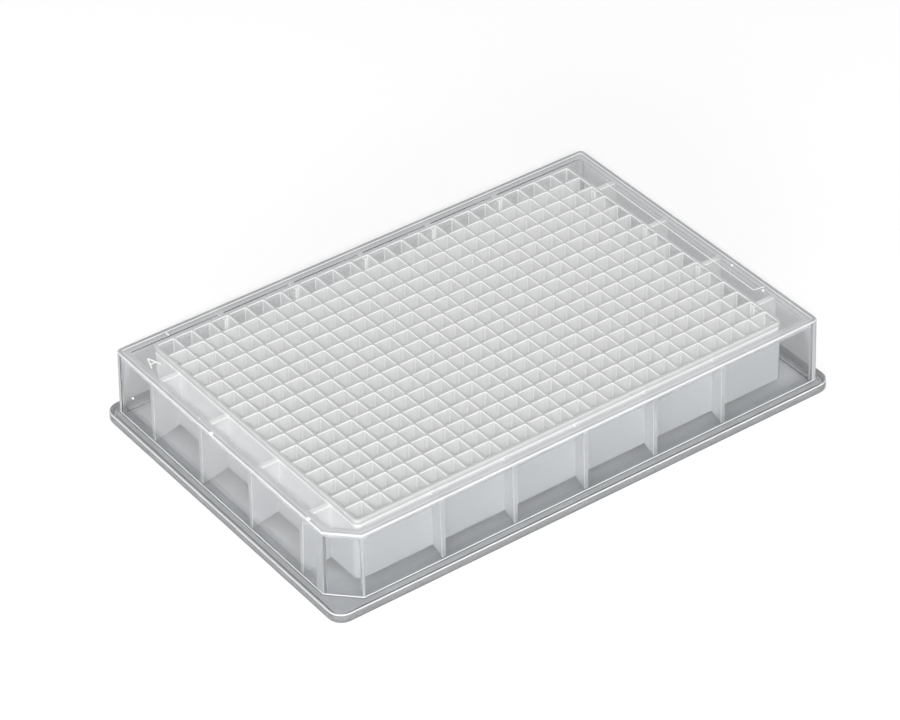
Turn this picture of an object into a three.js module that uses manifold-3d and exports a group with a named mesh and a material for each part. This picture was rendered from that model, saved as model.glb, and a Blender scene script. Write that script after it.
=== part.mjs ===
// A 384-well microplate, moulded in one piece from clear plastic.
// Millimetres, +Z up, column 1 at -X, row A at +Y, standing on Z = 0.
import * as THREE from 'three';
import { mergeVertices } from 'three/addons/utils/BufferGeometryUtils.js';
import Module from 'manifold-3d';

const wasm = await Module();
wasm.setup();

// ---- Well array -------------------------------------------------------------
const COLUMNS = 24;
const ROWS = 16;
const PITCH = 4.5;
const WELL_MOUTH = 3.9; // side of the square mouth
const WELL_DEPTH = 13.3;
const WELL_DRAFT = THREE.MathUtils.degToRad(0.8);
const HIP_HEIGHT = 0.9; // height of the sloped faces round the well floor
const WELL_FLOOR = 2.2; // side of the flat square floor

// ---- Block that the wells are sunk in ---------------------------------------
const BLOCK_MARGIN = 0.5; // plastic outside the cells of the outer wells
const BLOCK_CORNER = 1.2;
const BLOCK_FLOOR = 1.2; // plastic under a well floor
const BLOCK_RISE = 0.45; // how far the block stands above the rim

// ---- Foot: the flange that fits a plate holder -------------------------------
const A1_FROM_END = 12.13; // centre of well A1 from the short side of the foot
const A1_FROM_SIDE = 8.99; // centre of well A1 from the long side of the foot
const FOOT_HEIGHT = 2.1;
const FOOT_CORNER = 3.2;
const FOOT_LEDGE = 2.2; // how far the foot stands out from the wall
const FOOT_SIDE = 1.2; // thickness of the foot's upright side
const FOOT_ROOF = 1.1; // thickness of the foot's flat ledge

// ---- Skirt wall, rim and deck -------------------------------------------------
const RIM_HEIGHT = 17.5; // top of the wall above the table
const WALL = 1.1;
const WALL_DRAFT = THREE.MathUtils.degToRad(1.1);
const WALL_CORNER = 2.0;
const KEY_CHAMFER = 5.8; // leg of the cut corner that shows which way round it goes
const DECK_DROP = 0.3; // how far the deck lies below the rim
const DECK = 1.0;

// ---- Webs between block and wall ----------------------------------------------
const WEB = 1.0;
const WEB_SPACING = 4 * PITCH;
const LONG_SIDE_WEBS = 5;
const SHORT_SIDE_WEBS = 4;

// ---- Modelling values ---------------------------------------------------------
const CORNER_STEPS = 6;
const OVERRUN = 1; // how far a cutting tool runs past the face it opens
const CHAMFER_LOSS = 2 - Math.SQRT2; // what a 45 degree leg loses for each mm of inset

// ---- Sizes worked out from the values above -------------------------------------
const footHalfX = ((COLUMNS - 1) * PITCH) / 2 + A1_FROM_END;
const footHalfY = ((ROWS - 1) * PITCH) / 2 + A1_FROM_SIDE;
const blockHalfX = (COLUMNS * PITCH) / 2 + BLOCK_MARGIN;
const blockHalfY = (ROWS * PITCH) / 2 + BLOCK_MARGIN;
const blockTop = RIM_HEIGHT + BLOCK_RISE;
const blockBottom = blockTop - WELL_DEPTH - BLOCK_FLOOR;
const deckTop = RIM_HEIGHT - DECK_DROP;
const deckBottom = deckTop - DECK;

/** Outline of a rounded rectangle, counter-clockwise; a chamfer cuts its -X -Y corner. */
function outline(halfX, halfY, radius, chamfer = 0) {
  const corners = [[1, -1], [1, 1], [-1, 1], [-1, -1]];
  return corners.flatMap(([sx, sy], quarter) => {
    const cut = chamfer > 0 && sx < 0 && sy < 0;
    const size = cut ? chamfer : radius;
    const steps = cut ? 1 : CORNER_STEPS;
    return Array.from({ length: steps + 1 }, (_, step) => {
      const angle = (quarter - 1 + step / steps) * (Math.PI / 2);
      const x = sx * (halfX - size) + size * Math.cos(angle);
      const y = sy * (halfY - size) + size * Math.sin(angle);
      return new THREE.Vector2(x, y);
    });
  });
}

/** Closed geometry through level rings of equal point count, given from the lowest up. */
function loft(rings) {
  const count = rings[0].points.length;
  const positions = rings.flatMap(({ points, z }) => points.flatMap(({ x, y }) => [x, y, z]));
  const index = [];
  for (let ring = 0; ring < rings.length - 1; ring++) {
    for (let i = 0; i < count; i++) {
      const a = ring * count + i;
      const b = ring * count + ((i + 1) % count);
      index.push(a, b, b + count, a, b + count, a + count);
    }
  }
  const last = (rings.length - 1) * count;
  for (const [a, b, c] of THREE.ShapeUtils.triangulateShape(rings[0].points, [])) {
    index.push(a, c, b);
  }
  for (const [a, b, c] of THREE.ShapeUtils.triangulateShape(rings.at(-1).points, [])) {
    index.push(last + a, last + b, last + c);
  }
  const geometry = new THREE.BufferGeometry();
  geometry.setAttribute('position', new THREE.Float32BufferAttribute(positions, 3));
  geometry.setIndex(index);
  return geometry;
}

/** Turns a closed geometry into a solid that can be cut and joined. */
function solid(geometry) {
  const bare = geometry.clone();
  bare.deleteAttribute('normal');
  bare.deleteAttribute('uv');
  const merged = mergeVertices(bare);
  const vertProperties = new Float32Array(merged.attributes.position.array);
  const triVerts = new Uint32Array(merged.index.array);
  return new wasm.Manifold(new wasm.Mesh({ numProp: 3, vertProperties, triVerts }));
}

/** Turns a solid back into a flat-shaded geometry. */
function toGeometry(manifold) {
  const { vertProperties, triVerts } = manifold.getMesh();
  const indexed = new THREE.BufferGeometry();
  indexed.setAttribute('position', new THREE.BufferAttribute(vertProperties, 3));
  indexed.setIndex(new THREE.BufferAttribute(triVerts, 1));
  const geometry = indexed.toNonIndexed();
  geometry.computeVertexNormals();
  return geometry;
}

/** How far the drafted wall leans in by height z. */
function lean(z) {
  return (z - FOOT_HEIGHT) * Math.tan(WALL_DRAFT);
}

/** A level outline that follows the skirt wall at height z, set in from its outer face. */
function wallOutline(z, setIn) {
  const inset = FOOT_LEDGE + lean(z) + setIn;
  const radius = Math.max(WALL_CORNER - setIn, WALL / 2);
  const chamfer = KEY_CHAMFER - setIn * CHAMFER_LOSS;
  return outline(footHalfX - inset, footHalfY - inset, radius, chamfer);
}

/** A body that follows the skirt wall from z0 to z1, set in from its outer face. */
function wallBody(z0, z1, setIn) {
  return solid(loft([z0, z1].map((z) => ({ z, points: wallOutline(z, setIn) }))));
}

/** An upright body with the same outline from z0 to z1. */
function prism(points, z0, z1) {
  return solid(loft([{ points, z: z0 }, { points, z: z1 }]));
}

/** The foot and the skirt wall under a closed deck, hollow from below. */
function makeSkirt() {
  const foot = prism(outline(footHalfX, footHalfY, FOOT_CORNER), 0, FOOT_HEIGHT);
  const wall = wallBody(FOOT_HEIGHT - FOOT_ROOF, RIM_HEIGHT, 0);
  const footHollow = prism(
    outline(footHalfX - FOOT_SIDE, footHalfY - FOOT_SIDE, FOOT_CORNER - FOOT_SIDE),
    -OVERRUN,
    FOOT_HEIGHT - FOOT_ROOF,
  );
  const wallHollow = wallBody(-OVERRUN, deckBottom, WALL);
  const deckRecess = wallBody(deckTop, RIM_HEIGHT + OVERRUN, WALL);
  return foot.add(wall).subtract(footHollow).subtract(wallHollow).subtract(deckRecess);
}

/** The block in the middle of the plate, before its wells are cut. */
function makeBlock() {
  return prism(outline(blockHalfX, blockHalfY, BLOCK_CORNER), blockBottom, blockTop);
}

/** One well as a cutting tool, its mouth centred on the origin. */
function wellTool() {
  const straight = WELL_DEPTH - HIP_HEIGHT;
  const ring = (side, z) => ({ z, points: squareOutline(side) });
  return solid(loft([
    ring(WELL_FLOOR, -WELL_DEPTH),
    ring(WELL_MOUTH - 2 * straight * Math.tan(WELL_DRAFT), -straight),
    ring(WELL_MOUTH, 0),
    ring(WELL_MOUTH, OVERRUN),
  ]));
}

function squareOutline(side) {
  const half = side / 2;
  return [[1, -1], [1, 1], [-1, 1], [-1, -1]].map(([x, y]) => new THREE.Vector2(x * half, y * half));
}

/** Every well of the array as one cutting tool. */
function makeWells() {
  const tool = wellTool();
  const wells = [];
  for (let column = 0; column < COLUMNS; column++) {
    for (let row = 0; row < ROWS; row++) {
      const x = (column - (COLUMNS - 1) / 2) * PITCH;
      const y = (row - (ROWS - 1) / 2) * PITCH;
      wells.push(tool.translate(x, y, blockTop));
    }
  }
  return wasm.Manifold.union(wells);
}

/** Places of the webs along one side, centred on it. */
function webPlaces(count) {
  return Array.from({ length: count }, (_, i) => (i - (count - 1) / 2) * WEB_SPACING);
}

/** A gusset web that runs along +X from the block to the wall and hangs from the deck. */
function makeWeb(blockHalf, footHalf) {
  const wallMiddle = footHalf - FOOT_LEDGE - lean(RIM_HEIGHT) - WALL / 2;
  const inBlock = blockHalf - BLOCK_MARGIN;
  const deckMiddle = (deckTop + deckBottom) / 2;
  const profile = new THREE.Shape([
    new THREE.Vector2(inBlock, blockBottom),
    new THREE.Vector2(blockHalf, blockBottom),
    new THREE.Vector2(wallMiddle, FOOT_HEIGHT - FOOT_ROOF),
    new THREE.Vector2(wallMiddle, deckMiddle),
    new THREE.Vector2(inBlock, deckMiddle),
  ]);
  const web = new THREE.ExtrudeGeometry(profile, { depth: WEB, bevelEnabled: false });
  web.translate(0, 0, -WEB / 2).rotateX(Math.PI / 2);
  return solid(web);
}

/** All webs: pairs on the two short sides and on the two long sides. */
function makeWebs() {
  const shortSideWeb = makeWeb(blockHalfX, footHalfX);
  const longSideWeb = makeWeb(blockHalfY, footHalfY);
  const webs = [];
  for (const y of webPlaces(SHORT_SIDE_WEBS)) {
    webs.push(shortSideWeb.translate(0, y, 0), shortSideWeb.rotate(0, 0, 180).translate(0, y, 0));
  }
  for (const x of webPlaces(LONG_SIDE_WEBS)) {
    webs.push(longSideWeb.rotate(0, 0, 90).translate(x, 0, 0));
    webs.push(longSideWeb.rotate(0, 0, -90).translate(x, 0, 0));
  }
  return wasm.Manifold.union(webs);
}

const clearPlastic = new THREE.MeshStandardMaterial({
  name: 'clear_plastic',
  color: 0xdcdfe3,
  roughness: 0.22,
  metalness: 0,
  transparent: true,
  opacity: 0.62,
});

const plateSolid = makeSkirt().add(makeBlock()).add(makeWebs()).subtract(makeWells());
const wellPlate = new THREE.Mesh(toGeometry(plateSolid), clearPlastic);
wellPlate.name = 'well_plate';

const group = new THREE.Group();
group.add(wellPlate);

export default group;
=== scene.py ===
"""Look of a 384-well microplate: a clear moulded skirt round a milky block of square wells."""

import logging
import math
from dataclasses import dataclass, field
from enum import Enum

import bmesh
import bpy
from mathutils import Matrix, Vector


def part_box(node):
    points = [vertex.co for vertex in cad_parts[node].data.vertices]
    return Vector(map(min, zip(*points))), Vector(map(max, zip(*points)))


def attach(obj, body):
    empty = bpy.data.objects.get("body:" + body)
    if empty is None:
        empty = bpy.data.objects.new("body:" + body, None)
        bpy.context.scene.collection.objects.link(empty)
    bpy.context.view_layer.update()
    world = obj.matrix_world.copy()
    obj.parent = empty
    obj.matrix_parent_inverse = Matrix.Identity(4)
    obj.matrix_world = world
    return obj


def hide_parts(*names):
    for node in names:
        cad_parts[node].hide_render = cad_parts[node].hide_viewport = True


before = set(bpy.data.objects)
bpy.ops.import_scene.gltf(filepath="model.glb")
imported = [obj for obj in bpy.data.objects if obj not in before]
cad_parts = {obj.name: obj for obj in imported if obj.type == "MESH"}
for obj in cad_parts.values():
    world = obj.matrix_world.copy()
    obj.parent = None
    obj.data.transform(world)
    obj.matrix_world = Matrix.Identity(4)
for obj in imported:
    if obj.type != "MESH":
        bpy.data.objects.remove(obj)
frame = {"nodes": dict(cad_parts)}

LOG = logging.getLogger("well_plate")
MM = 0.001
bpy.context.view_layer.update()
NODE = "well_plate"
BODY = "root"
PALE = "pale"
DENSE = "dense"
SHARP_ANGLE = 35.0  # an edge between two faces stays sharp from this many degrees on
QUARTERS = ((1, -1), (1, 1), (-1, 1), (-1, -1))  # signs of x and y, counter-clockwise

Point = tuple[float, float]
Ring = list[tuple[float, float, float]]


class Corner(Enum):
    """Form of the corner beside the last row of column 1."""

    ROUND = "round"
    KEYED = "keyed"


class Zone(Enum):
    """Finish of a face of the skirt, as the number of its material slot; all but FLAT and DECK
    carry painted light, pale for painted highlights and grey for painted shade.
    """

    FLAT = 0
    BEND = 1
    RIM = 2
    CREASE = 3
    CORNER = 4
    KEY = 5
    LEDGE = 6
    FOOT = 7
    GROOVE = 8
    DECK = 9


class Tint(Enum):
    """How pale and how dense a face of the milky plastic looks, from 0 to 1 each; some paleness is
    painted highlight or painted shade.
    """

    WELL = (0.82, 0.38)
    # LIP is paler than WELL on the lips' rounding: painted highlight.
    LIP = (0.9, 0.65)
    # LAND greys the flat tops between the wells and round the array: painted shade.
    LAND = (0.0, 0.75)
    # BROW greys the block's rounded top edge: painted shade.
    BROW = (0.6, 0.5)
    SIDE = (1.0, 0.9)
    BACK = (1.0, 0.12)
    OUTER = (0.82, 0.15)
    DECK = (0.3, 0.2)
    # UNDERSIDE is dark so that the hollow under the block stays dim: painted shade.
    UNDERSIDE = (0.2, 0.9)
    WEB = (1.0, 0.6)
    EDGE = (1.0, 0.9)
    MARK = (1.0, 0.8)


# ---- Mesh helpers ------------------------------------------------------------------


def arc(centre: Point, radius: float, start: float, end: float, steps: int) -> list[Point]:
    """Points of an arc, both ends included.

    Args:
        centre: Centre of the arc.
        radius: Radius of the arc.
        start: First angle in degrees, counted from the first axis.
        end: Last angle in degrees.
        steps: Number of straight pieces.

    Returns:
        The points in order.
    """
    points = []
    for step in range(steps + 1):
        angle = math.radians(start + (end - start) * step / steps)
        points.append((centre[0] + radius * math.cos(angle), centre[1] + radius * math.sin(angle)))
    return points


def rounded_ring(z: float, half_x: float, half_y: float, radius: float, steps: int) -> Ring:
    """A level rectangular ring with round corners, centred on the origin.

    Args:
        z: Height of the ring.
        half_x: Half its length.
        half_y: Half its width.
        radius: Radius of its corners.
        steps: Number of straight pieces in each corner.

    Returns:
        Points of the ring, counter-clockwise.
    """
    ring: Ring = []
    for quarter, (sx, sy) in enumerate(QUARTERS):
        start = (quarter - 1) * 90.0
        centre = (sx * (half_x - radius), sy * (half_y - radius))
        ring += [(x, y, z) for x, y in arc(centre, radius, start, start + 90.0, steps)]
    return ring


def new_mesh() -> bmesh.types.BMesh:
    """Start an empty mesh whose faces can say how pale and how dense they are."""
    bm = bmesh.new()
    for layer in (PALE, DENSE):
        bm.faces.layers.float.new(layer)
    return bm


def add_loop(bm: bmesh.types.BMesh, ring: Ring) -> list[bmesh.types.BMVert]:
    """Add a closed loop of edges through the points of a ring given in millimetres."""
    verts = [bm.verts.new(Vector(point) * MM) for point in ring]
    for pair in zip(verts, verts[1:] + verts[:1]):
        bm.edges.new(pair)
    return verts


def loop_edges(verts: list[bmesh.types.BMVert]) -> list[bmesh.types.BMEdge]:
    """Edges that join the vertices of a closed loop in order."""
    pairs = zip(verts, verts[1:] + verts[:1])
    return [next(edge for edge in a.link_edges if b in edge.verts) for a, b in pairs]


def tint(bm: bmesh.types.BMesh, faces: list[bmesh.types.BMFace], look: Tint) -> None:
    """Write how pale and how dense some faces are."""
    pale, dense = bm.faces.layers.float[PALE], bm.faces.layers.float[DENSE]
    for face in faces:
        face[pale], face[dense] = look.value


def sweep(bm: bmesh.types.BMesh, verts: list[bmesh.types.BMVert],
          rings: list[Ring]) -> tuple[list[bmesh.types.BMVert], list[bmesh.types.BMFace]]:
    """Extrude a closed loop from ring to ring.

    Args:
        bm: Mesh that holds the loop.
        verts: Vertices of the loop, in order.
        rings: Where the loop goes next, each ring with a point for every vertex.

    Returns:
        Vertices of the last ring, in the same order, and every face on the way.
    """
    faces = []
    for ring in rings:
        grown = bmesh.ops.extrude_edge_only(bm, edges=loop_edges(verts))["geom"]
        fresh = {item for item in grown if isinstance(item, bmesh.types.BMVert)}
        faces += [item for item in grown if isinstance(item, bmesh.types.BMFace)]
        moved = []
        for vert, point in zip(verts, ring):
            ends = [edge.other_vert(vert) for edge in vert.link_edges]
            partner = next(end for end in ends if end in fresh)
            partner.co = Vector(point) * MM
            moved.append(partner)
        verts = moved
    return verts, faces


def add_object(name: str, bm: bmesh.types.BMesh,
               materials: list[bpy.types.Material]) -> bpy.types.Object:
    """Turn a finished bmesh into an object at the origin.

    Args:
        name: Name of the new object.
        bm: The finished mesh, in metres; it is freed here.
        materials: The finishes, in the order of the faces' slots.

    Returns:
        The new object.
    """
    mesh = bpy.data.meshes.new(name)
    bm.to_mesh(mesh)
    bm.free()
    for material in materials:
        mesh.materials.append(material)
    piece = bpy.data.objects.new(name, mesh)
    bpy.context.scene.collection.objects.link(piece)
    return piece


def shade(bm: bmesh.types.BMesh, widest: float) -> None:
    """Shade the narrow faces of the bends round and leave the broad faces flat.

    Args:
        bm: The finished mesh.
        widest: Largest area of a face that belongs to a bend, in square millimetres.
    """
    for face in bm.faces:
        face.smooth = face.calc_area() < widest * MM * MM
    for edge in bm.edges:
        edge.smooth = edge.calc_face_angle(0.0) < math.radians(SHARP_ANGLE)


# ---- Sizes ---------------------------------------------------------------------------


@dataclass
class PlateSizes:
    """Sizes that the pieces of the plate share, in millimetres."""

    columns: int = 24
    rows: int = 16
    pitch: float = 4.5
    block_margin: float = 0.5
    block_corner: float = 1.2
    block_bottom: float = 3.45
    rim: float = 17.5
    deck_top: float = 17.2
    deck: float = 1.0
    foot_height: float = 2.1
    foot_ledge: float = 2.2
    foot_side: float = 1.2
    foot_roof: float = 1.1
    foot_corner: float = 3.2
    wall: float = 1.1
    wall_draft: float = 1.1
    wall_corner: float = 1.2
    key_chamfer: float = 5.8
    half_x: float = field(init=False)
    half_y: float = field(init=False)
    top: float = field(init=False)

    def __post_init__(self) -> None:
        """Take the outer size from the frame."""
        low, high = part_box(NODE)
        self.half_x = (high[0] - low[0]) / 2 / MM
        self.half_y = (high[1] - low[1]) / 2 / MM
        self.top = high[2] / MM

    @property
    def block_x(self) -> float:
        """Half the length of the well block."""
        return self.columns * self.pitch / 2 + self.block_margin

    @property
    def block_y(self) -> float:
        """Half the width of the well block."""
        return self.rows * self.pitch / 2 + self.block_margin

    @property
    def deck_bottom(self) -> float:
        """Height of the deck's underside."""
        return self.deck_top - self.deck

    def lean(self, z: float) -> float:
        """How far the drafted wall leans in by height z."""
        return max(z - self.foot_height, 0.0) * math.tan(math.radians(self.wall_draft))


# ---- Finishes --------------------------------------------------------------------------


@dataclass(frozen=True)
class Ripple:
    """Faint unevenness of a moulded plastic face, as a shared node group."""

    name: str = "moulded_ripple"
    detail: float = 2.0

    def group(self) -> bpy.types.NodeTree:
        """Build the group once and hand out the same one after that.

        Returns:
            The node group, with Scale, Low and High in, Roughness and Height out.
        """
        if self.name in bpy.data.node_groups:
            return bpy.data.node_groups[self.name]
        tree = bpy.data.node_groups.new(self.name, "ShaderNodeTree")
        sockets = tree.interface
        sockets.new_socket("Scale", in_out="INPUT", socket_type="NodeSocketFloat")
        sockets.new_socket("Low", in_out="INPUT", socket_type="NodeSocketFloat")
        sockets.new_socket("High", in_out="INPUT", socket_type="NodeSocketFloat")
        sockets.new_socket("Roughness", in_out="OUTPUT", socket_type="NodeSocketFloat")
        sockets.new_socket("Height", in_out="OUTPUT", socket_type="NodeSocketFloat")
        nodes, links = tree.nodes, tree.links
        inlet = nodes.new("NodeGroupInput")
        outlet = nodes.new("NodeGroupOutput")
        place = nodes.new("ShaderNodeTexCoord")
        noise = nodes.new("ShaderNodeTexNoise")
        noise.inputs["Detail"].default_value = self.detail
        spread = nodes.new("ShaderNodeMapRange")
        links.new(place.outputs["Object"], noise.inputs["Vector"])
        links.new(inlet.outputs["Scale"], noise.inputs["Scale"])
        links.new(noise.outputs["Fac"], spread.inputs["Value"])
        links.new(inlet.outputs["Low"], spread.inputs["To Min"])
        links.new(inlet.outputs["High"], spread.inputs["To Max"])
        links.new(spread.outputs["Result"], outlet.inputs["Roughness"])
        links.new(noise.outputs["Fac"], outlet.inputs["Height"])
        return tree

    def node(self, tree: bpy.types.NodeTree, scale: float, low: float,
             high: float) -> bpy.types.Node:
        """Put the group into a material.

        Args:
            tree: Nodes of the material.
            scale: How fine the unevenness is.
            low: Least roughness.
            high: Greatest roughness.

        Returns:
            The group's node.
        """
        node = tree.nodes.new("ShaderNodeGroup")
        node.node_tree = self.group()
        node.inputs["Scale"].default_value = scale
        node.inputs["Low"].default_value = low
        node.inputs["High"].default_value = high
        return node


@dataclass(frozen=True)
class ClearPlastic:
    """The clear moulded plastic of the skirt, with a trace of haze and a base colour that darkens
    towards the foot as painted shade.
    """

    name: str = "clear_plastic"
    # Below 6.5 mm the base colour darkens towards the foot, most below 2.4 mm: painted shade for
    # the hollow under the block.
    heights: tuple[float, ...] = (0.0, 2.4, 6.5, 17.5)
    colours: tuple[tuple[float, float, float], ...] = (
        (0.70, 0.72, 0.735), (0.70, 0.715, 0.73), (0.85, 0.865, 0.88), (0.85, 0.865, 0.88))
    clear: float = 0.98
    ior: float = 1.4
    rough_low: float = 0.03
    rough_high: float = 0.08
    ripple_scale: float = 90.0
    ripple_strength: float = 0.2
    ripple_height: float = 0.02

    def material(self) -> bpy.types.Material:
        """Build the material.

        Returns:
            The new material.
        """
        material = bpy.data.materials.new(self.name)
        material.use_nodes = True
        nodes, links = material.node_tree.nodes, material.node_tree.links
        shader = nodes["Principled BSDF"]
        shader.inputs["Metallic"].default_value = 0.0
        shader.inputs["IOR"].default_value = self.ior
        shader.inputs["Transmission Weight"].default_value = self.clear
        place = nodes.new("ShaderNodeTexCoord")
        split = nodes.new("ShaderNodeSeparateXYZ")
        height = nodes.new("ShaderNodeMath")
        height.operation = "DIVIDE"
        height.inputs[1].default_value = self.heights[-1] * MM
        ramp = nodes.new("ShaderNodeValToRGB")
        stops = ramp.color_ramp.elements
        for _ in self.heights[2:]:
            stops.new(0.5)
        for stop, z, colour in zip(stops, self.heights, self.colours):
            stop.position = z / self.heights[-1]
            stop.color = (*colour, 1.0)
        links.new(place.outputs["Object"], split.inputs["Vector"])
        links.new(split.outputs["Z"], height.inputs[0])
        links.new(height.outputs["Value"], ramp.inputs["Fac"])
        links.new(ramp.outputs["Color"], shader.inputs["Base Color"])
        ripple = Ripple().node(material.node_tree, self.ripple_scale, self.rough_low,
                               self.rough_high)
        bump = nodes.new("ShaderNodeBump")
        bump.inputs["Strength"].default_value = self.ripple_strength
        bump.inputs["Distance"].default_value = self.ripple_height * MM
        links.new(ripple.outputs["Roughness"], shader.inputs["Roughness"])
        links.new(ripple.outputs["Height"], bump.inputs["Height"])
        links.new(bump.outputs["Normal"], shader.inputs["Normal"])
        return material


@dataclass(frozen=True)
class HazyPlastic:
    """The same plastic with more haze and painted light: paler on bends, corners and the foot's
    top as painted highlight, greyer on the rim's top, in creases, grooves and on the foot's side
    as painted shade.
    """

    name: str
    clear: float
    colour: tuple[float, float, float]
    ior: float = 1.4
    rough_low: float = 0.08
    rough_high: float = 0.16
    ripple_scale: float = 90.0

    def material(self) -> bpy.types.Material:
        """Build the material.

        Returns:
            The new material.
        """
        material = bpy.data.materials.new(self.name)
        material.use_nodes = True
        nodes, links = material.node_tree.nodes, material.node_tree.links
        shader = nodes["Principled BSDF"]
        shader.inputs["Base Color"].default_value = (*self.colour, 1.0)
        shader.inputs["Metallic"].default_value = 0.0
        shader.inputs["IOR"].default_value = self.ior
        shader.inputs["Transmission Weight"].default_value = self.clear
        ripple = Ripple().node(material.node_tree, self.ripple_scale, self.rough_low,
                               self.rough_high)
        links.new(ripple.outputs["Roughness"], shader.inputs["Roughness"])
        return material


@dataclass(frozen=True)
class MilkyPlastic:
    """The milky plastic of block, webs, marks and deck, as pale and dense as each face says; some
    paleness is painted light.
    """

    name: str = "milky_plastic"
    deep: tuple[float, float, float] = (0.5, 0.51, 0.52)
    pale: tuple[float, float, float] = (0.98, 0.98, 0.98)
    ior: float = 1.45
    rough_low: float = 0.3
    rough_high: float = 0.45
    ripple_scale: float = 120.0
    ripple_strength: float = 0.25
    ripple_height: float = 0.05

    def material(self) -> bpy.types.Material:
        """Build the material.

        Returns:
            The new material.
        """
        material = bpy.data.materials.new(self.name)
        material.use_nodes = True
        nodes, links = material.node_tree.nodes, material.node_tree.links
        shader = nodes["Principled BSDF"]
        shader.inputs["Metallic"].default_value = 0.0
        shader.inputs["IOR"].default_value = self.ior
        pale = nodes.new("ShaderNodeAttribute")
        pale.attribute_name = PALE
        dense = nodes.new("ShaderNodeAttribute")
        dense.attribute_name = DENSE
        colour = nodes.new("ShaderNodeMix")
        colour.data_type = "RGBA"
        colour.inputs["A"].default_value = (*self.deep, 1.0)
        colour.inputs["B"].default_value = (*self.pale, 1.0)
        ripple = Ripple().node(material.node_tree, self.ripple_scale, self.rough_low,
                               self.rough_high)
        bump = nodes.new("ShaderNodeBump")
        bump.inputs["Strength"].default_value = self.ripple_strength
        bump.inputs["Distance"].default_value = self.ripple_height * MM
        links.new(pale.outputs["Fac"], colour.inputs["Factor"])
        links.new(colour.outputs["Result"], shader.inputs["Base Color"])
        links.new(dense.outputs["Fac"], shader.inputs["Alpha"])
        links.new(ripple.outputs["Roughness"], shader.inputs["Roughness"])
        links.new(ripple.outputs["Height"], bump.inputs["Height"])
        links.new(bump.outputs["Normal"], shader.inputs["Normal"])
        return material


# ---- Pieces ----------------------------------------------------------------------------


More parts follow.
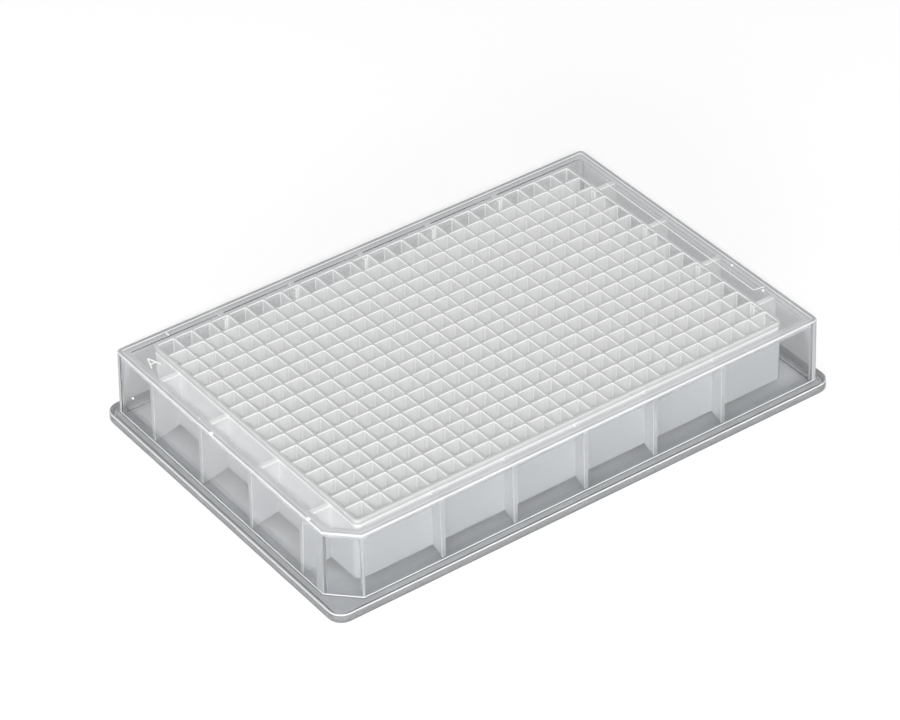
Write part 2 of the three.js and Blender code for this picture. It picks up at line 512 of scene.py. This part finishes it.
@dataclass
class Skirt:
    """Foot, wall, rim and deck: one closed shell round the well block, clear but for its deck."""

    sizes: PlateSizes
    corner_steps: int = 8
    least_corner: float = 0.5  # smallest radius inside a wall corner
    rim_round: float = 0.22
    rim_inner_round: float = 0.14
    rim_line: float = 0.1  # width of the pale line beside the rim's inner bend, a painted highlight
    rim_shade: float = 0.25  # height of the hazy band of painted shade under the rim's outer bend
    fillet: float = 0.32  # bevel between the wall and the deck's underside
    key_round: float = 0.6
    key_painted_light_run: float = 1.9  # length of the hazy face of painted light ahead of the keyed corner
    corner_painted_light_run: float = 0.55  # width of the hazy strips of painted light beside a round corner
    deck_crease: float = 1.15  # width of the hazy strip of painted shade on the deck along the wall
    foot_line: float = 0.15  # height of the bend at the wall's foot, a pale line of painted highlight
    foot_lead: float = 0.1  # how far that bend runs out on the foot
    foot_crease: float = 0.32  # width of the shaded crease beside that bend
    foot_bevel: float = 0.15
    toe_round: float = 0.2
    bite: float = 0.25  # how far the deck runs into the well block
    bend_high: float = 5.0  # an upright bend is taller than this
    bend_wide: float = 2.5  # and narrower than this
    bend_area: float = 30.0  # largest face shaded round, in square millimetres
    weld: float = 0.001

    def outline(self, inset: float, corner: Corner, radius: float) -> list[Point]:
        """Level outline of the plate, set in from its footprint.

        Args:
            inset: Distance in from the footprint.
            corner: Form of the corner beside the last row of column 1.
            radius: Radius of the round corners.

        Returns:
            Points counter-clockwise, the same number for every outline.
        """
        half_x, half_y = self.sizes.half_x - inset, self.sizes.half_y - inset
        points: list[Point] = []
        for quarter, (sx, sy) in enumerate(QUARTERS):
            start = (quarter - 1) * 90.0
            if corner is Corner.KEYED and quarter == 3:
                points += self.cut_corner(half_x, half_y, inset - self.sizes.foot_ledge)
            else:
                centre = (sx * (half_x - radius), sy * (half_y - radius))
                bend = arc(centre, radius, start, start + 90.0, self.corner_steps - 2)
                turn = math.radians(start + 90.0)
                # Hazy strips of painted light run on beside each round corner.
                run_x, run_y = math.cos(turn) * self.corner_painted_light_run, math.sin(turn) * self.corner_painted_light_run
                (x0, y0), (x1, y1) = bend[0], bend[-1]
                points += [(x0 - run_x, y0 - run_y), *bend, (x1 - run_y, y1 + run_x)]
        return points

    def cut_corner(self, half_x: float, half_y: float, set_in: float) -> list[Point]:
        """The 45 degree cut across one corner, with its two bends rounded and a hazy face of
        painted light ahead of it.

        Args:
            half_x: Half the length of the outline.
            half_y: Half its width.
            set_in: Inset of the outline from the wall's foot.

        Returns:
            Points of the corner.
        """
        leg = self.sizes.key_chamfer - set_in * (2 - math.sqrt(2))
        radius = self.key_round
        run = radius * math.tan(math.radians(22.5))
        steps = (self.corner_steps - 2) // 2
        ahead = [(-half_x, leg + run + self.key_painted_light_run - half_y)]
        first = arc((radius - half_x, leg + run - half_y), radius, 180, 225, steps)
        second = arc((leg + run - half_x, radius - half_y), radius, 225, 270, steps)
        return ahead + first + second

    def wall_ring(self, z: float, set_in: float) -> Ring:
        """A ring that follows the drafted wall at height z, set in from its outer face."""
        inset = self.sizes.foot_ledge + self.sizes.lean(z) + set_in
        radius = max(self.sizes.wall_corner - set_in, self.least_corner)
        return [(x, y, z) for x, y in self.outline(inset, Corner.KEYED, radius)]

    def foot_ring(self, z: float, set_in: float) -> Ring:
        """A ring that follows the foot at height z, set in from its outer face."""
        radius = self.sizes.foot_corner - set_in
        return [(x, y, z) for x, y in self.outline(set_in, Corner.ROUND, radius)]

    def block_ring(self, z: float) -> Ring:
        """A ring just inside the well block, where the deck runs into it."""
        s = self.sizes
        return rounded_ring(z, s.block_x - self.bite, s.block_y - self.bite, s.block_corner,
                            self.corner_steps)

    def section(self) -> list[tuple[Zone, list[Ring]]]:
        """Every ring of the closed section.

        Returns:
            Rings from the deck's inner edge out over the rim, down, under and back, in runs of
            one finish.
        """
        s, r, q = self.sizes, self.rim_round, self.rim_inner_round
        t, b, roof = self.toe_round, self.foot_bevel, s.foot_height - s.foot_roof
        inner = [self.wall_ring(z, d) for d, z in arc((s.wall - q, s.rim - q), q, 0, 90, 3)]
        outer = [self.wall_ring(z, d) for d, z in arc((r, s.rim - r), r, 90, 180, 4)]
        lip = [self.foot_ring(z, d) for d, z in arc((r, s.foot_height - r), r, 90, 180, 4)]
        toe = [self.foot_ring(z, d) for d, z in arc((t, t), t, 180, 270, 2)]
        under = [self.foot_ring(0.0, s.foot_side - b), self.foot_ring(b, s.foot_side),
                 self.foot_ring(roof - b, s.foot_side), self.foot_ring(roof, s.foot_side + b),
                 self.wall_ring(roof, s.wall - b), self.wall_ring(roof + b, s.wall),
                 self.wall_ring(s.deck_bottom - self.fillet, s.wall)]
        return [
            (Zone.DECK, [self.block_ring(s.deck_top),
                         self.wall_ring(s.deck_top, s.wall + self.deck_crease)]),
            (Zone.GROOVE, [self.wall_ring(s.deck_top, s.wall)]),
            (Zone.CREASE, inner[:1]),
            (Zone.BEND, inner[1:] + [self.wall_ring(s.rim, s.wall - q - self.rim_line)]),
            (Zone.RIM, outer[:1]),
            (Zone.BEND, outer[1:]),
            (Zone.GROOVE, [self.wall_ring(s.rim - r - self.rim_shade, 0.0)]),
            (Zone.FLAT, [self.wall_ring(s.foot_height + self.foot_line, 0.0)]),
            (Zone.BEND, [self.wall_ring(s.foot_height, -self.foot_lead)]),
            (Zone.CREASE, [self.wall_ring(s.foot_height, -self.foot_lead - self.foot_crease)]),
            (Zone.LEDGE, lip[:1]),
            (Zone.BEND, lip[1:]),
            (Zone.FOOT, toe[:1]),
            (Zone.KEY, toe[1:]),
            (Zone.FLAT, under),
            (Zone.BEND, [self.wall_ring(s.deck_bottom, s.wall + self.fillet)]),
            (Zone.DECK, [self.block_ring(s.deck_bottom)]),
        ]

    def zone(self, face: bmesh.types.BMFace, zone: Zone) -> Zone:
        """Finish of a face; the wall's upright bends take a hazy finish of painted light.

        Args:
            face: The face.
            zone: Finish of the run of rings that it lies in.

        Returns:
            The face's own finish.
        """
        heights = [vert.co.z for vert in face.verts]
        spans = [(edge.verts[0].co - edge.verts[1].co).to_2d().length for edge in face.edges]
        upright = max(heights) - min(heights) > self.bend_high * MM
        if zone is not Zone.FLAT or not upright or max(spans) > self.bend_wide * MM:
            return zone
        keyed = all(vert.co.x < 0 and vert.co.y < 0 for vert in face.verts)
        return Zone.KEY if keyed else Zone.CORNER

    def build(self, materials: list[bpy.types.Material]) -> bpy.types.Object:
        """Sweep the section round the block.

        Args:
            materials: The finishes, in the order of the zones.

        Returns:
            The closed shell.
        """
        bm = new_mesh()
        runs = self.section()
        first = runs[0][1][0]
        verts = add_loop(bm, first)
        for zone, rings in runs + [(Zone.DECK, [first])]:
            verts, faces = sweep(bm, verts, rings)
            tint(bm, faces, Tint.DECK)
            for face in faces:
                face.material_index = self.zone(face, zone).value
        bmesh.ops.remove_doubles(bm, verts=bm.verts, dist=self.weld * MM)
        bmesh.ops.recalc_face_normals(bm, faces=bm.faces)
        shade(bm, self.bend_area)
        return add_object("skirt", bm, materials)


@dataclass
class Webs:
    """Gusset webs that hang between the well block and the wall, milky like the block."""

    sizes: PlateSizes
    pitch: float = 18.0
    long_count: int = 5
    short_count: int = 4
    thick: float = 1.3
    thin: float = 1.0
    lap: float = 0.3  # how far a web runs into the block
    sunk: float = 0.25  # how far it runs into the deck and the wall
    edge_round: float = 0.13
    bend_area: float = 10.0

    def add_web(self, bm: bmesh.types.BMesh, block_half: float, foot_half: float,
                turn: float, shift: Vector) -> None:
        """Add one web under the deck, thicker at its top.

        Args:
            bm: Mesh that takes the web.
            block_half: Distance of the block's side from the plate's middle.
            foot_half: Distance of the foot's side from the plate's middle.
            turn: Direction that the web runs in, in degrees from +X.
            shift: Place of the web along its side.
        """
        s = self.sizes
        low, high = s.foot_height, s.deck_bottom + self.sunk
        wall = foot_half - s.foot_ledge - s.wall + self.sunk
        block = block_half - self.lap
        profile = [(block, s.block_bottom), (block_half, s.block_bottom), (wall, low),
                   (wall - s.lean(high), high), (block, high)]
        near = [bm.verts.new((u * MM, 0.0, z * MM)) for u, z in profile]
        face = bm.faces.new(near)
        grown = bmesh.ops.extrude_face_region(bm, geom=[face])["geom"]
        far = [item for item in grown if isinstance(item, bmesh.types.BMVert)]
        for side, verts in ((-1, near), (1, far)):
            for vert in verts:
                part = (vert.co.z / MM - low) / (high - low)
                vert.co.y = side * (self.thin + (self.thick - self.thin) * part) / 2 * MM
        place = Matrix.Translation(shift * MM) @ Matrix.Rotation(math.radians(turn), 4, "Z")
        bmesh.ops.transform(bm, matrix=place, verts=near + far)

    def build(self, material: bpy.types.Material) -> bpy.types.Object:
        """Make the webs of all four sides.

        Args:
            material: The milky plastic.

        Returns:
            One object that holds every web.
        """
        s = self.sizes
        bm = new_mesh()
        for index in range(self.long_count):
            along = (index - (self.long_count - 1) / 2) * self.pitch
            for turn in (90.0, -90.0):
                self.add_web(bm, s.block_y, s.half_y, turn, Vector((along, 0, 0)))
        for index in range(self.short_count):
            along = (index - (self.short_count - 1) / 2) * self.pitch
            for turn in (0.0, 180.0):
                self.add_web(bm, s.block_x, s.half_x, turn, Vector((0, along, 0)))
        bmesh.ops.recalc_face_normals(bm, faces=bm.faces)
        tint(bm, bm.faces, Tint.WEB)
        bends = bmesh.ops.bevel(bm, geom=bm.edges[:], offset=self.edge_round * MM,
                                affect="EDGES", segments=2, profile=0.5, material=-1)["faces"]
        tint(bm, bends, Tint.EDGE)
        shade(bm, self.bend_area)
        return add_object("webs", bm, [material])


@dataclass
class Marks:
    """Small raised marks of the mould: row letter, frame, ticks, pips, nubs and a stud."""

    sizes: PlateSizes
    stroke: float = 0.26
    height: float = 0.12
    letter_at: Point = (-57.4, 32.3)
    letter_high: float = 3.3
    letter_wide: float = 2.3
    bar_share: float = 0.62
    bar_drop: float = 0.25
    frame: tuple[Point, ...] = ((57.6, 26.7), (57.45, -23.7), (60.1, -24.2))
    frame_stroke: float = 0.12
    pips: tuple[Point, ...] = ((59.6, -14.05), (58.95, -25.1))
    nubs: tuple[Point, ...] = ((-61.1, 4.6), (-61.05, -29.6))
    ticks: tuple[tuple[Point, Point], ...] = (
        ((-49.5, 38.0), (-49.5, 39.3)), ((-60.9, 10.5), (-59.9, 10.5)),
        ((-61.2, -26.2), (-60.2, -26.2)))
    stud: tuple[float, float, float] = (-61.65, 33.9, 8.9)
    lift: float = 0.01  # gap between a bar and the deck
    pip_radius: float = 0.3
    pip_rise: float = 0.1
    nub_radius: float = 0.5
    nub_rise: float = 0.02
    dome_steps: int = 6
    dome_share: float = 0.7  # height of a nub as a share of its radius
    bend_area: float = 0.1

    def add_bar(self, bm: bmesh.types.BMesh, start: Point, end: Point, stroke: float) -> None:
        """Add a low straight bar that stands on the deck.

        Args:
            bm: Mesh that takes the bar.
            start: Where the bar begins.
            end: Where it ends.
            stroke: Width of the bar.
        """
        a, b = Vector((*start, 0.0)), Vector((*end, 0.0))
        middle = (a + b) / 2 + Vector((0, 0, self.sizes.deck_top + self.lift + self.height / 2))
        run = b - a
        size = Matrix.Diagonal((run.length * MM, stroke * MM, self.height * MM, 1.0))
        turn = Matrix.Rotation(math.atan2(run.y, run.x), 4, "Z")
        bmesh.ops.create_cube(bm, size=1.0, matrix=Matrix.Translation(middle * MM) @ turn @ size)

    def add_letter(self, bm: bmesh.types.BMesh) -> None:
        """Add the capital letter A that names the first row."""
        (x, y), high, wide = self.letter_at, self.letter_high / 2, self.letter_wide / 2
        apex, left, right = (x, y + high), (x - wide, y - high), (x + wide, y - high)
        reach, level = wide * self.bar_share, y - high * self.bar_drop
        self.add_bar(bm, left, apex, self.stroke)
        self.add_bar(bm, right, apex, self.stroke)
        self.add_bar(bm, (x - reach, level), (x + reach, level), self.stroke)

    def add_nub(self, bm: bmesh.types.BMesh, place: Point, z: float, radius: float) -> None:
        """Add a small domed nub."""
        dome = bmesh.ops.create_uvsphere(bm, u_segments=2 * self.dome_steps,
                                         v_segments=self.dome_steps, radius=radius * MM)
        bmesh.ops.scale(bm, verts=dome["verts"], vec=(1.0, 1.0, self.dome_share))
        bmesh.ops.translate(bm, verts=dome["verts"], vec=Vector((*place, z)) * MM)

    def build(self, material: bpy.types.Material) -> bpy.types.Object:
        """Make every mark.

        Args:
            material: The milky plastic.

        Returns:
            One object that holds the marks.
        """
        bm = new_mesh()
        self.add_letter(bm)
        for start, end in zip(self.frame, self.frame[1:]):
            self.add_bar(bm, start, end, self.frame_stroke)
        for start, end in self.ticks:
            self.add_bar(bm, start, end, self.stroke)
        self.add_nub(bm, self.stud[:2], self.stud[2], self.pip_radius)
        for place in self.pips:
            self.add_nub(bm, place, self.sizes.deck_top + self.pip_rise, self.pip_radius)
        for place in self.nubs:
            self.add_nub(bm, place, self.sizes.rim + self.nub_rise, self.nub_radius)
        tint(bm, bm.faces, Tint.MARK)
        shade(bm, self.bend_area)
        return add_object("marks", bm, [material])


@dataclass
class WellBlock:
    """The milky block with every square well sunk in it."""

    sizes: PlateSizes
    wall: float = 0.6
    lip_round: float = 0.14
    depth: float = 13.3
    draft: float = 0.8
    hip: float = 0.9  # height of the slope round a well's floor
    floor: float = 2.2  # width of a well's floor
    well_corner: float = 0.2
    edge_round: float = 0.2
    sunk: float = 0.3  # how far the crown reaches below the deck's top
    corner_steps: int = 7
    steep_area: float = 13.3  # a well's steep wall is larger than this, in square millimetres
    far_side: float = 1.0  # faces this close to the back or right side look clearer
    bend_area: float = 10.0
    weld: float = 0.01

    def make_cell(self, bm: bmesh.types.BMesh) -> None:
        """Make one square cell with its well, centred on the origin at the block's top.

        Args:
            bm: Empty mesh that takes the cell.
        """
        s = self.sizes
        mouth = s.pitch - self.wall + 2 * self.lip_round
        straight = self.depth - self.hip - self.lip_round
        taper = straight * math.tan(math.radians(self.draft))
        slope = (mouth / 2 - self.lip_round - taper) - self.floor / 2
        rim = bmesh.ops.create_grid(bm, x_segments=1, y_segments=1, size=s.pitch / 2 * MM)["verts"]
        bmesh.ops.delete(bm, geom=[rim[0].link_faces[0]], context="FACES_ONLY")
        border = list(bm.edges)
        pit = bmesh.ops.create_grid(bm, x_segments=1, y_segments=1, size=mouth / 2 * MM)["verts"]
        bmesh.ops.bevel(bm, geom=pit, offset=(self.well_corner + self.lip_round) * MM,
                        affect="VERTICES", segments=2, profile=0.5, material=-1)
        floor = next(iter(bm.faces))
        bmesh.ops.triangle_fill(bm, edges=border + list(floor.edges), use_beauty=True)
        # The flat wall tops start out grey: painted shade.
        tint(bm, bm.faces, Tint.LAND)
        # The lips' rounding is paler than the wells: painted highlight.
        bend = arc((0, 0), self.lip_round, 90, 0, 2)
        for (u0, z0), (u1, z1) in zip(bend, bend[1:]):
            tint(bm, self.sink(bm, floor, u1 - u0, z0 - z1), Tint.LIP)
        tint(bm, self.sink(bm, floor, taper, straight), Tint.WELL)
        tint(bm, self.sink(bm, floor, slope, self.hip) + [floor], Tint.WELL)

    def sink(self, bm: bmesh.types.BMesh, floor: bmesh.types.BMFace, shrink: float,
             drop: float) -> list[bmesh.types.BMFace]:
        """Sink the floor of a well and draw it in.

        Args:
            bm: Mesh that holds the floor.
            floor: The face that goes down.
            shrink: How far its edges move in.
            drop: How far it goes down.

        Returns:
            The new faces round it.
        """
        return bmesh.ops.inset_region(bm, faces=[floor], thickness=shrink * MM, depth=-drop * MM,
                                      use_even_offset=True)["faces"]

    def repeat(self, bm: bmesh.types.BMesh, count: int, step: Vector) -> None:
        """Repeat everything in the mesh along a line, centred on the origin.

        Args:
            bm: Mesh whose whole content is repeated.
            count: Number of copies, the first one included.
            step: Step from one copy to the next.
        """
        source = bm.verts[:] + bm.edges[:] + bm.faces[:]
        for index in range(1, count):
            copy = bmesh.ops.duplicate(bm, geom=source)["geom"]
            verts = [item for item in copy if isinstance(item, bmesh.types.BMVert)]
            bmesh.ops.translate(bm, verts=verts, vec=step * index)
        bmesh.ops.translate(bm, verts=bm.verts, vec=step * (1 - count) / 2)
        bmesh.ops.remove_doubles(bm, verts=bm.verts, dist=self.weld * MM)

    def thin_outer_walls(self, bm: bmesh.types.BMesh) -> None:
        """Make the walls clearer that have no other well behind them."""
        s = self.sizes
        reach_x, reach_y = s.block_x - s.block_margin, s.block_y - s.block_margin
        for face in bm.faces:
            middle = face.calc_center_median() / MM
            outermost = max(abs(middle.x) - reach_x, abs(middle.y) - reach_y) > -self.wall
            if outermost and face.calc_area() > self.steep_area * MM * MM:
                tint(bm, [face], Tint.OUTER)

    def side_ring(self, z: float, inset: float) -> Ring:
        """A ring round the block's side.

        Args:
            z: Height of the ring.
            inset: Distance in from the block's side.

        Returns:
            Points of the ring.
        """
        s = self.sizes
        return rounded_ring(z, s.block_x - inset, s.block_y - inset, s.block_corner - inset,
                            self.corner_steps)

    def close(self, bm: bmesh.types.BMesh) -> None:
        """Add the block's outer land, sides and underside to the array of wells.

        Args:
            bm: The array of wells, open round its border.
        """
        s, r = self.sizes, self.edge_round
        border = [edge for edge in bm.edges if edge.is_boundary]
        crown = [self.side_ring(z, d) for d, z in arc((r, s.top - r), r, 90, 180, 3)]
        brow = self.side_ring(s.deck_top - self.sunk, 0.0)
        base = [self.side_ring(z, d) for d, z in arc((r, s.block_bottom + r), r, 180, 270, 3)]
        edge = add_loop(bm, crown[0])
        gap = border + loop_edges(edge)
        land = bmesh.ops.triangle_fill(bm, edges=gap, use_beauty=True)["geom"]
        # The outer land is greyed like the wall tops: painted shade.
        tint(bm, [item for item in land if isinstance(item, bmesh.types.BMFace)], Tint.LAND)
        neck, bend = sweep(bm, edge, crown[1:] + [brow])
        # The crown's bend is greyed: painted shade.
        tint(bm, bend, Tint.BROW)
        bottom, side = sweep(bm, neck, base)
        for face in side:
            middle = face.calc_center_median() / MM
            far = max(middle.x - s.block_x, middle.y - s.block_y) > -self.far_side
            tint(bm, [face], Tint.BACK if far else Tint.SIDE)
        # The underside is darkened: painted shade that keeps the hollow below dim.
        tint(bm, bmesh.ops.edgeloop_fill(bm, edges=loop_edges(bottom))["faces"], Tint.UNDERSIDE)

    def build(self, material: bpy.types.Material) -> bpy.types.Object:
        """Make one cell, repeat it over the array and close the block round it.

        Args:
            material: The milky plastic.

        Returns:
            The block.
        """
        s = self.sizes
        bm = new_mesh()
        self.make_cell(bm)
        self.repeat(bm, s.columns, Vector((s.pitch * MM, 0, 0)))
        self.repeat(bm, s.rows, Vector((0, s.pitch * MM, 0)))
        bmesh.ops.translate(bm, verts=bm.verts, vec=(0, 0, s.top * MM))
        self.thin_outer_walls(bm)
        self.close(bm)
        bmesh.ops.recalc_face_normals(bm, faces=bm.faces)
        shade(bm, self.bend_area)
        return add_object("well_block", bm, [material])


# ---- Studio ------------------------------------------------------------------------------


@dataclass(frozen=True)
class Softbox:
    """A soft lamp that looks at the plate.

    Its direction is in degrees from the front and above the floor, its distance and size are in
    metres, and its share is the brightness that a white face turned to it gets from it.
    """

    name: str
    azimuth: float
    elevation: float
    distance: float
    size: tuple[float, float]
    share: float


@dataclass
class Studio:
    """Pale floor, soft lamps and the camera."""

    floor_half: float = 1.5
    floor_colour: tuple[float, float, float] = (0.52, 0.52, 0.52)
    floor_white: tuple[float, float, float] = (1.0, 1.0, 1.0)
    world: float = 0.3
    backdrop: float = 1.0
    lamps: tuple[Softbox, ...] = (
        Softbox("front", -37.0, 37.0, 3.0, (0.4, 0.4), 1.0),
        Softbox("low", -46.0, 10.0, 1.3, (1.4, 0.45), 0.52),
        Softbox("strip", 145.0, 58.0, 1.0, (0.75, 0.16), 0.12))
    aim: tuple[float, float, float] = (-1.6, 4.4, 9.0)
    azimuth: float = -35.88
    elevation: float = 36.88
    roll: float = -0.95
    distance: float = 800.8
    lens: float = 152.54
    sensor: float = 36.0
    nearest: float = 0.01
    bounces: int = 24
    diffuse_bounces: int = 8
    glossy_bounces: int = 8
    clear_bounces: int = 16
    see_through_bounces: int = 32

    def direction(self, azimuth: float, elevation: float) -> Vector:
        """Unit vector towards a place seen at an azimuth (0 is in front, at -Y) and elevation."""
        a, e = math.radians(azimuth), math.radians(elevation)
        return Vector((math.sin(a) * math.cos(e), -math.cos(a) * math.cos(e), math.sin(e)))

    def sight(self, tree: bpy.types.NodeTree) -> bpy.types.NodeSocket:
        """Tell what is seen, directly, in a gloss or through clear plastic, from what only lights.

        Args:
            tree: Nodes of the floor or of the world.

        Returns:
            A socket that gives 1 for what is seen and 0 for light that has been scattered.
        """
        nodes, links = tree.nodes, tree.links
        path = nodes.new("ShaderNodeLightPath")
        value = path.outputs["Is Camera Ray"]
        for kind in ("Is Glossy Ray", "Is Transmission Ray"):
            either = nodes.new("ShaderNodeMath")
            either.operation = "MAXIMUM"
            links.new(value, either.inputs[0])
            links.new(path.outputs[kind], either.inputs[1])
            value = either.outputs["Value"]
        direct = nodes.new("ShaderNodeMath")
        direct.operation = "LESS_THAN"
        direct.inputs[1].default_value = 0.5
        both = nodes.new("ShaderNodeMath")
        both.operation = "MULTIPLY"
        links.new(path.outputs["Diffuse Depth"], direct.inputs[0])
        links.new(value, both.inputs[0])
        links.new(direct.outputs["Value"], both.inputs[1])
        return both.outputs["Value"]

    def add_floor(self) -> None:
        """Lay the floor that the plate stands on."""
        bm = bmesh.new()
        bmesh.ops.create_grid(bm, x_segments=1, y_segments=1, size=self.floor_half)
        material = bpy.data.materials.new("pale_floor")
        material.use_nodes = True
        nodes, links = material.node_tree.nodes, material.node_tree.links
        shader = nodes["Principled BSDF"]
        shown = nodes.new("ShaderNodeMix")
        shown.data_type = "RGBA"
        shown.inputs["A"].default_value = (*self.floor_colour, 1.0)
        shown.inputs["B"].default_value = (*self.floor_white, 1.0)
        links.new(self.sight(material.node_tree), shown.inputs["Factor"])
        links.new(shown.outputs["Result"], shader.inputs["Base Color"])
        shader.inputs["Roughness"].default_value = 1.0
        shader.inputs["Specular IOR Level"].default_value = 0.0
        floor = add_object("floor", bm, [material])

    def add_lamp(self, box: Softbox) -> None:
        """Hang a softbox so that it looks at the plate.

        Args:
            box: The softbox.
        """
        lamp = bpy.data.lights.new(box.name, "AREA")
        lamp.shape = "RECTANGLE"
        lamp.size, lamp.size_y = box.size
        lamp.energy = box.share * (math.pi * box.distance) ** 2
        holder = bpy.data.objects.new(box.name, lamp)
        towards = self.direction(box.azimuth, box.elevation)
        holder.location = towards * box.distance
        holder.rotation_euler = towards.to_track_quat("Z", "Y").to_euler()
        bpy.context.scene.collection.objects.link(holder)

    def add_world(self) -> None:
        """Light the room evenly from all round, in front of a white backdrop."""
        world = bpy.data.worlds.new("studio")
        world.use_nodes = True
        nodes, links = world.node_tree.nodes, world.node_tree.links
        sky = nodes["Background"]
        sky.inputs["Color"].default_value = (1.0, 1.0, 1.0, 1.0)
        strength = nodes.new("ShaderNodeMapRange")
        strength.inputs["To Min"].default_value = self.world
        strength.inputs["To Max"].default_value = self.backdrop
        links.new(self.sight(world.node_tree), strength.inputs["Value"])
        links.new(strength.outputs["Result"], sky.inputs["Strength"])
        bpy.context.scene.world = world

    def add_camera(self) -> None:
        """Set up the camera."""
        camera = bpy.data.cameras.new("camera")
        camera.lens = self.lens
        camera.sensor_width = self.sensor
        camera.clip_start = self.nearest
        holder = bpy.data.objects.new("camera", camera)
        back = self.direction(self.azimuth, self.elevation)
        holder.location = Vector(self.aim) * MM + back * self.distance * MM
        level = back.to_track_quat("Z", "Y").to_matrix().to_4x4()
        tilt = Matrix.Rotation(math.radians(self.roll), 4, "Z")
        holder.rotation_euler = (level @ tilt).to_euler()
        bpy.context.scene.collection.objects.link(holder)
        bpy.context.scene.camera = holder

    def build(self) -> None:
        """Set the whole stage."""
        self.add_floor()
        for box in self.lamps:
            self.add_lamp(box)
        self.add_world()
        self.add_camera()
        scene = bpy.context.scene
        scene.view_settings.view_transform = "Standard"
        scene.cycles.max_bounces = self.bounces
        scene.cycles.diffuse_bounces = self.diffuse_bounces
        scene.cycles.glossy_bounces = self.glossy_bounces
        scene.cycles.transmission_bounces = self.clear_bounces
        scene.cycles.transparent_max_bounces = self.see_through_bounces


# ---- Assembly ------------------------------------------------------------------------------


def fit_out(piece: bpy.types.Object) -> None:
    """Put a piece on the plate's body, in place of the plain solid.

    Args:
        piece: The finished piece.
    """
    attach(piece, BODY)
    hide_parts(NODE)
    LOG.info("%s: %d faces", piece.name, len(piece.data.polygons))


def main() -> None:
    """Build the plate and its stage."""
    logging.basicConfig(level=logging.INFO)
    sizes = PlateSizes()
    # Pale haze on every bend: painted highlight.
    finishes = (ClearPlastic(), HazyPlastic("hazy_bend_painted_highlight", 0.35, (0.87, 0.88, 0.89)),
                # Grey haze on the rim's top face: painted shade.
                HazyPlastic("hazy_rim_painted_shade", 0.5, (0.62, 0.63, 0.64)),
                # Dark haze in the creases: painted shade.
                HazyPlastic("crease_painted_shade", 0.3, (0.3, 0.31, 0.32)),
                # Pale haze at the wall's corners: painted light.
                HazyPlastic("hazy_corner_painted_light", 0.45, (0.74, 0.75, 0.765)),
                # Haze on the keyed corner and the toe: painted light.
                HazyPlastic("hazy_key_painted_light", 0.6, (0.6, 0.61, 0.62)),
                # Pale haze on the foot's top: painted light.
                HazyPlastic("hazy_ledge_painted_light", 0.75, (0.7, 0.71, 0.73)),
                # Dark haze on the foot's side: painted shade.
                HazyPlastic("hazy_foot_painted_shade", 0.65, (0.46, 0.47, 0.48)),
                # Grey haze in the grooves along the deck and under the rim: painted shade.
                HazyPlastic("hazy_groove_painted_shade", 0.4, (0.66, 0.67, 0.69)))
    milky = MilkyPlastic().material()
    fit_out(Skirt(sizes).build([finish.material() for finish in finishes] + [milky]))
    for piece in (WellBlock(sizes), Webs(sizes), Marks(sizes)):
        fit_out(piece.build(milky))
    Studio().build()


if __name__ == "__main__":
    main()
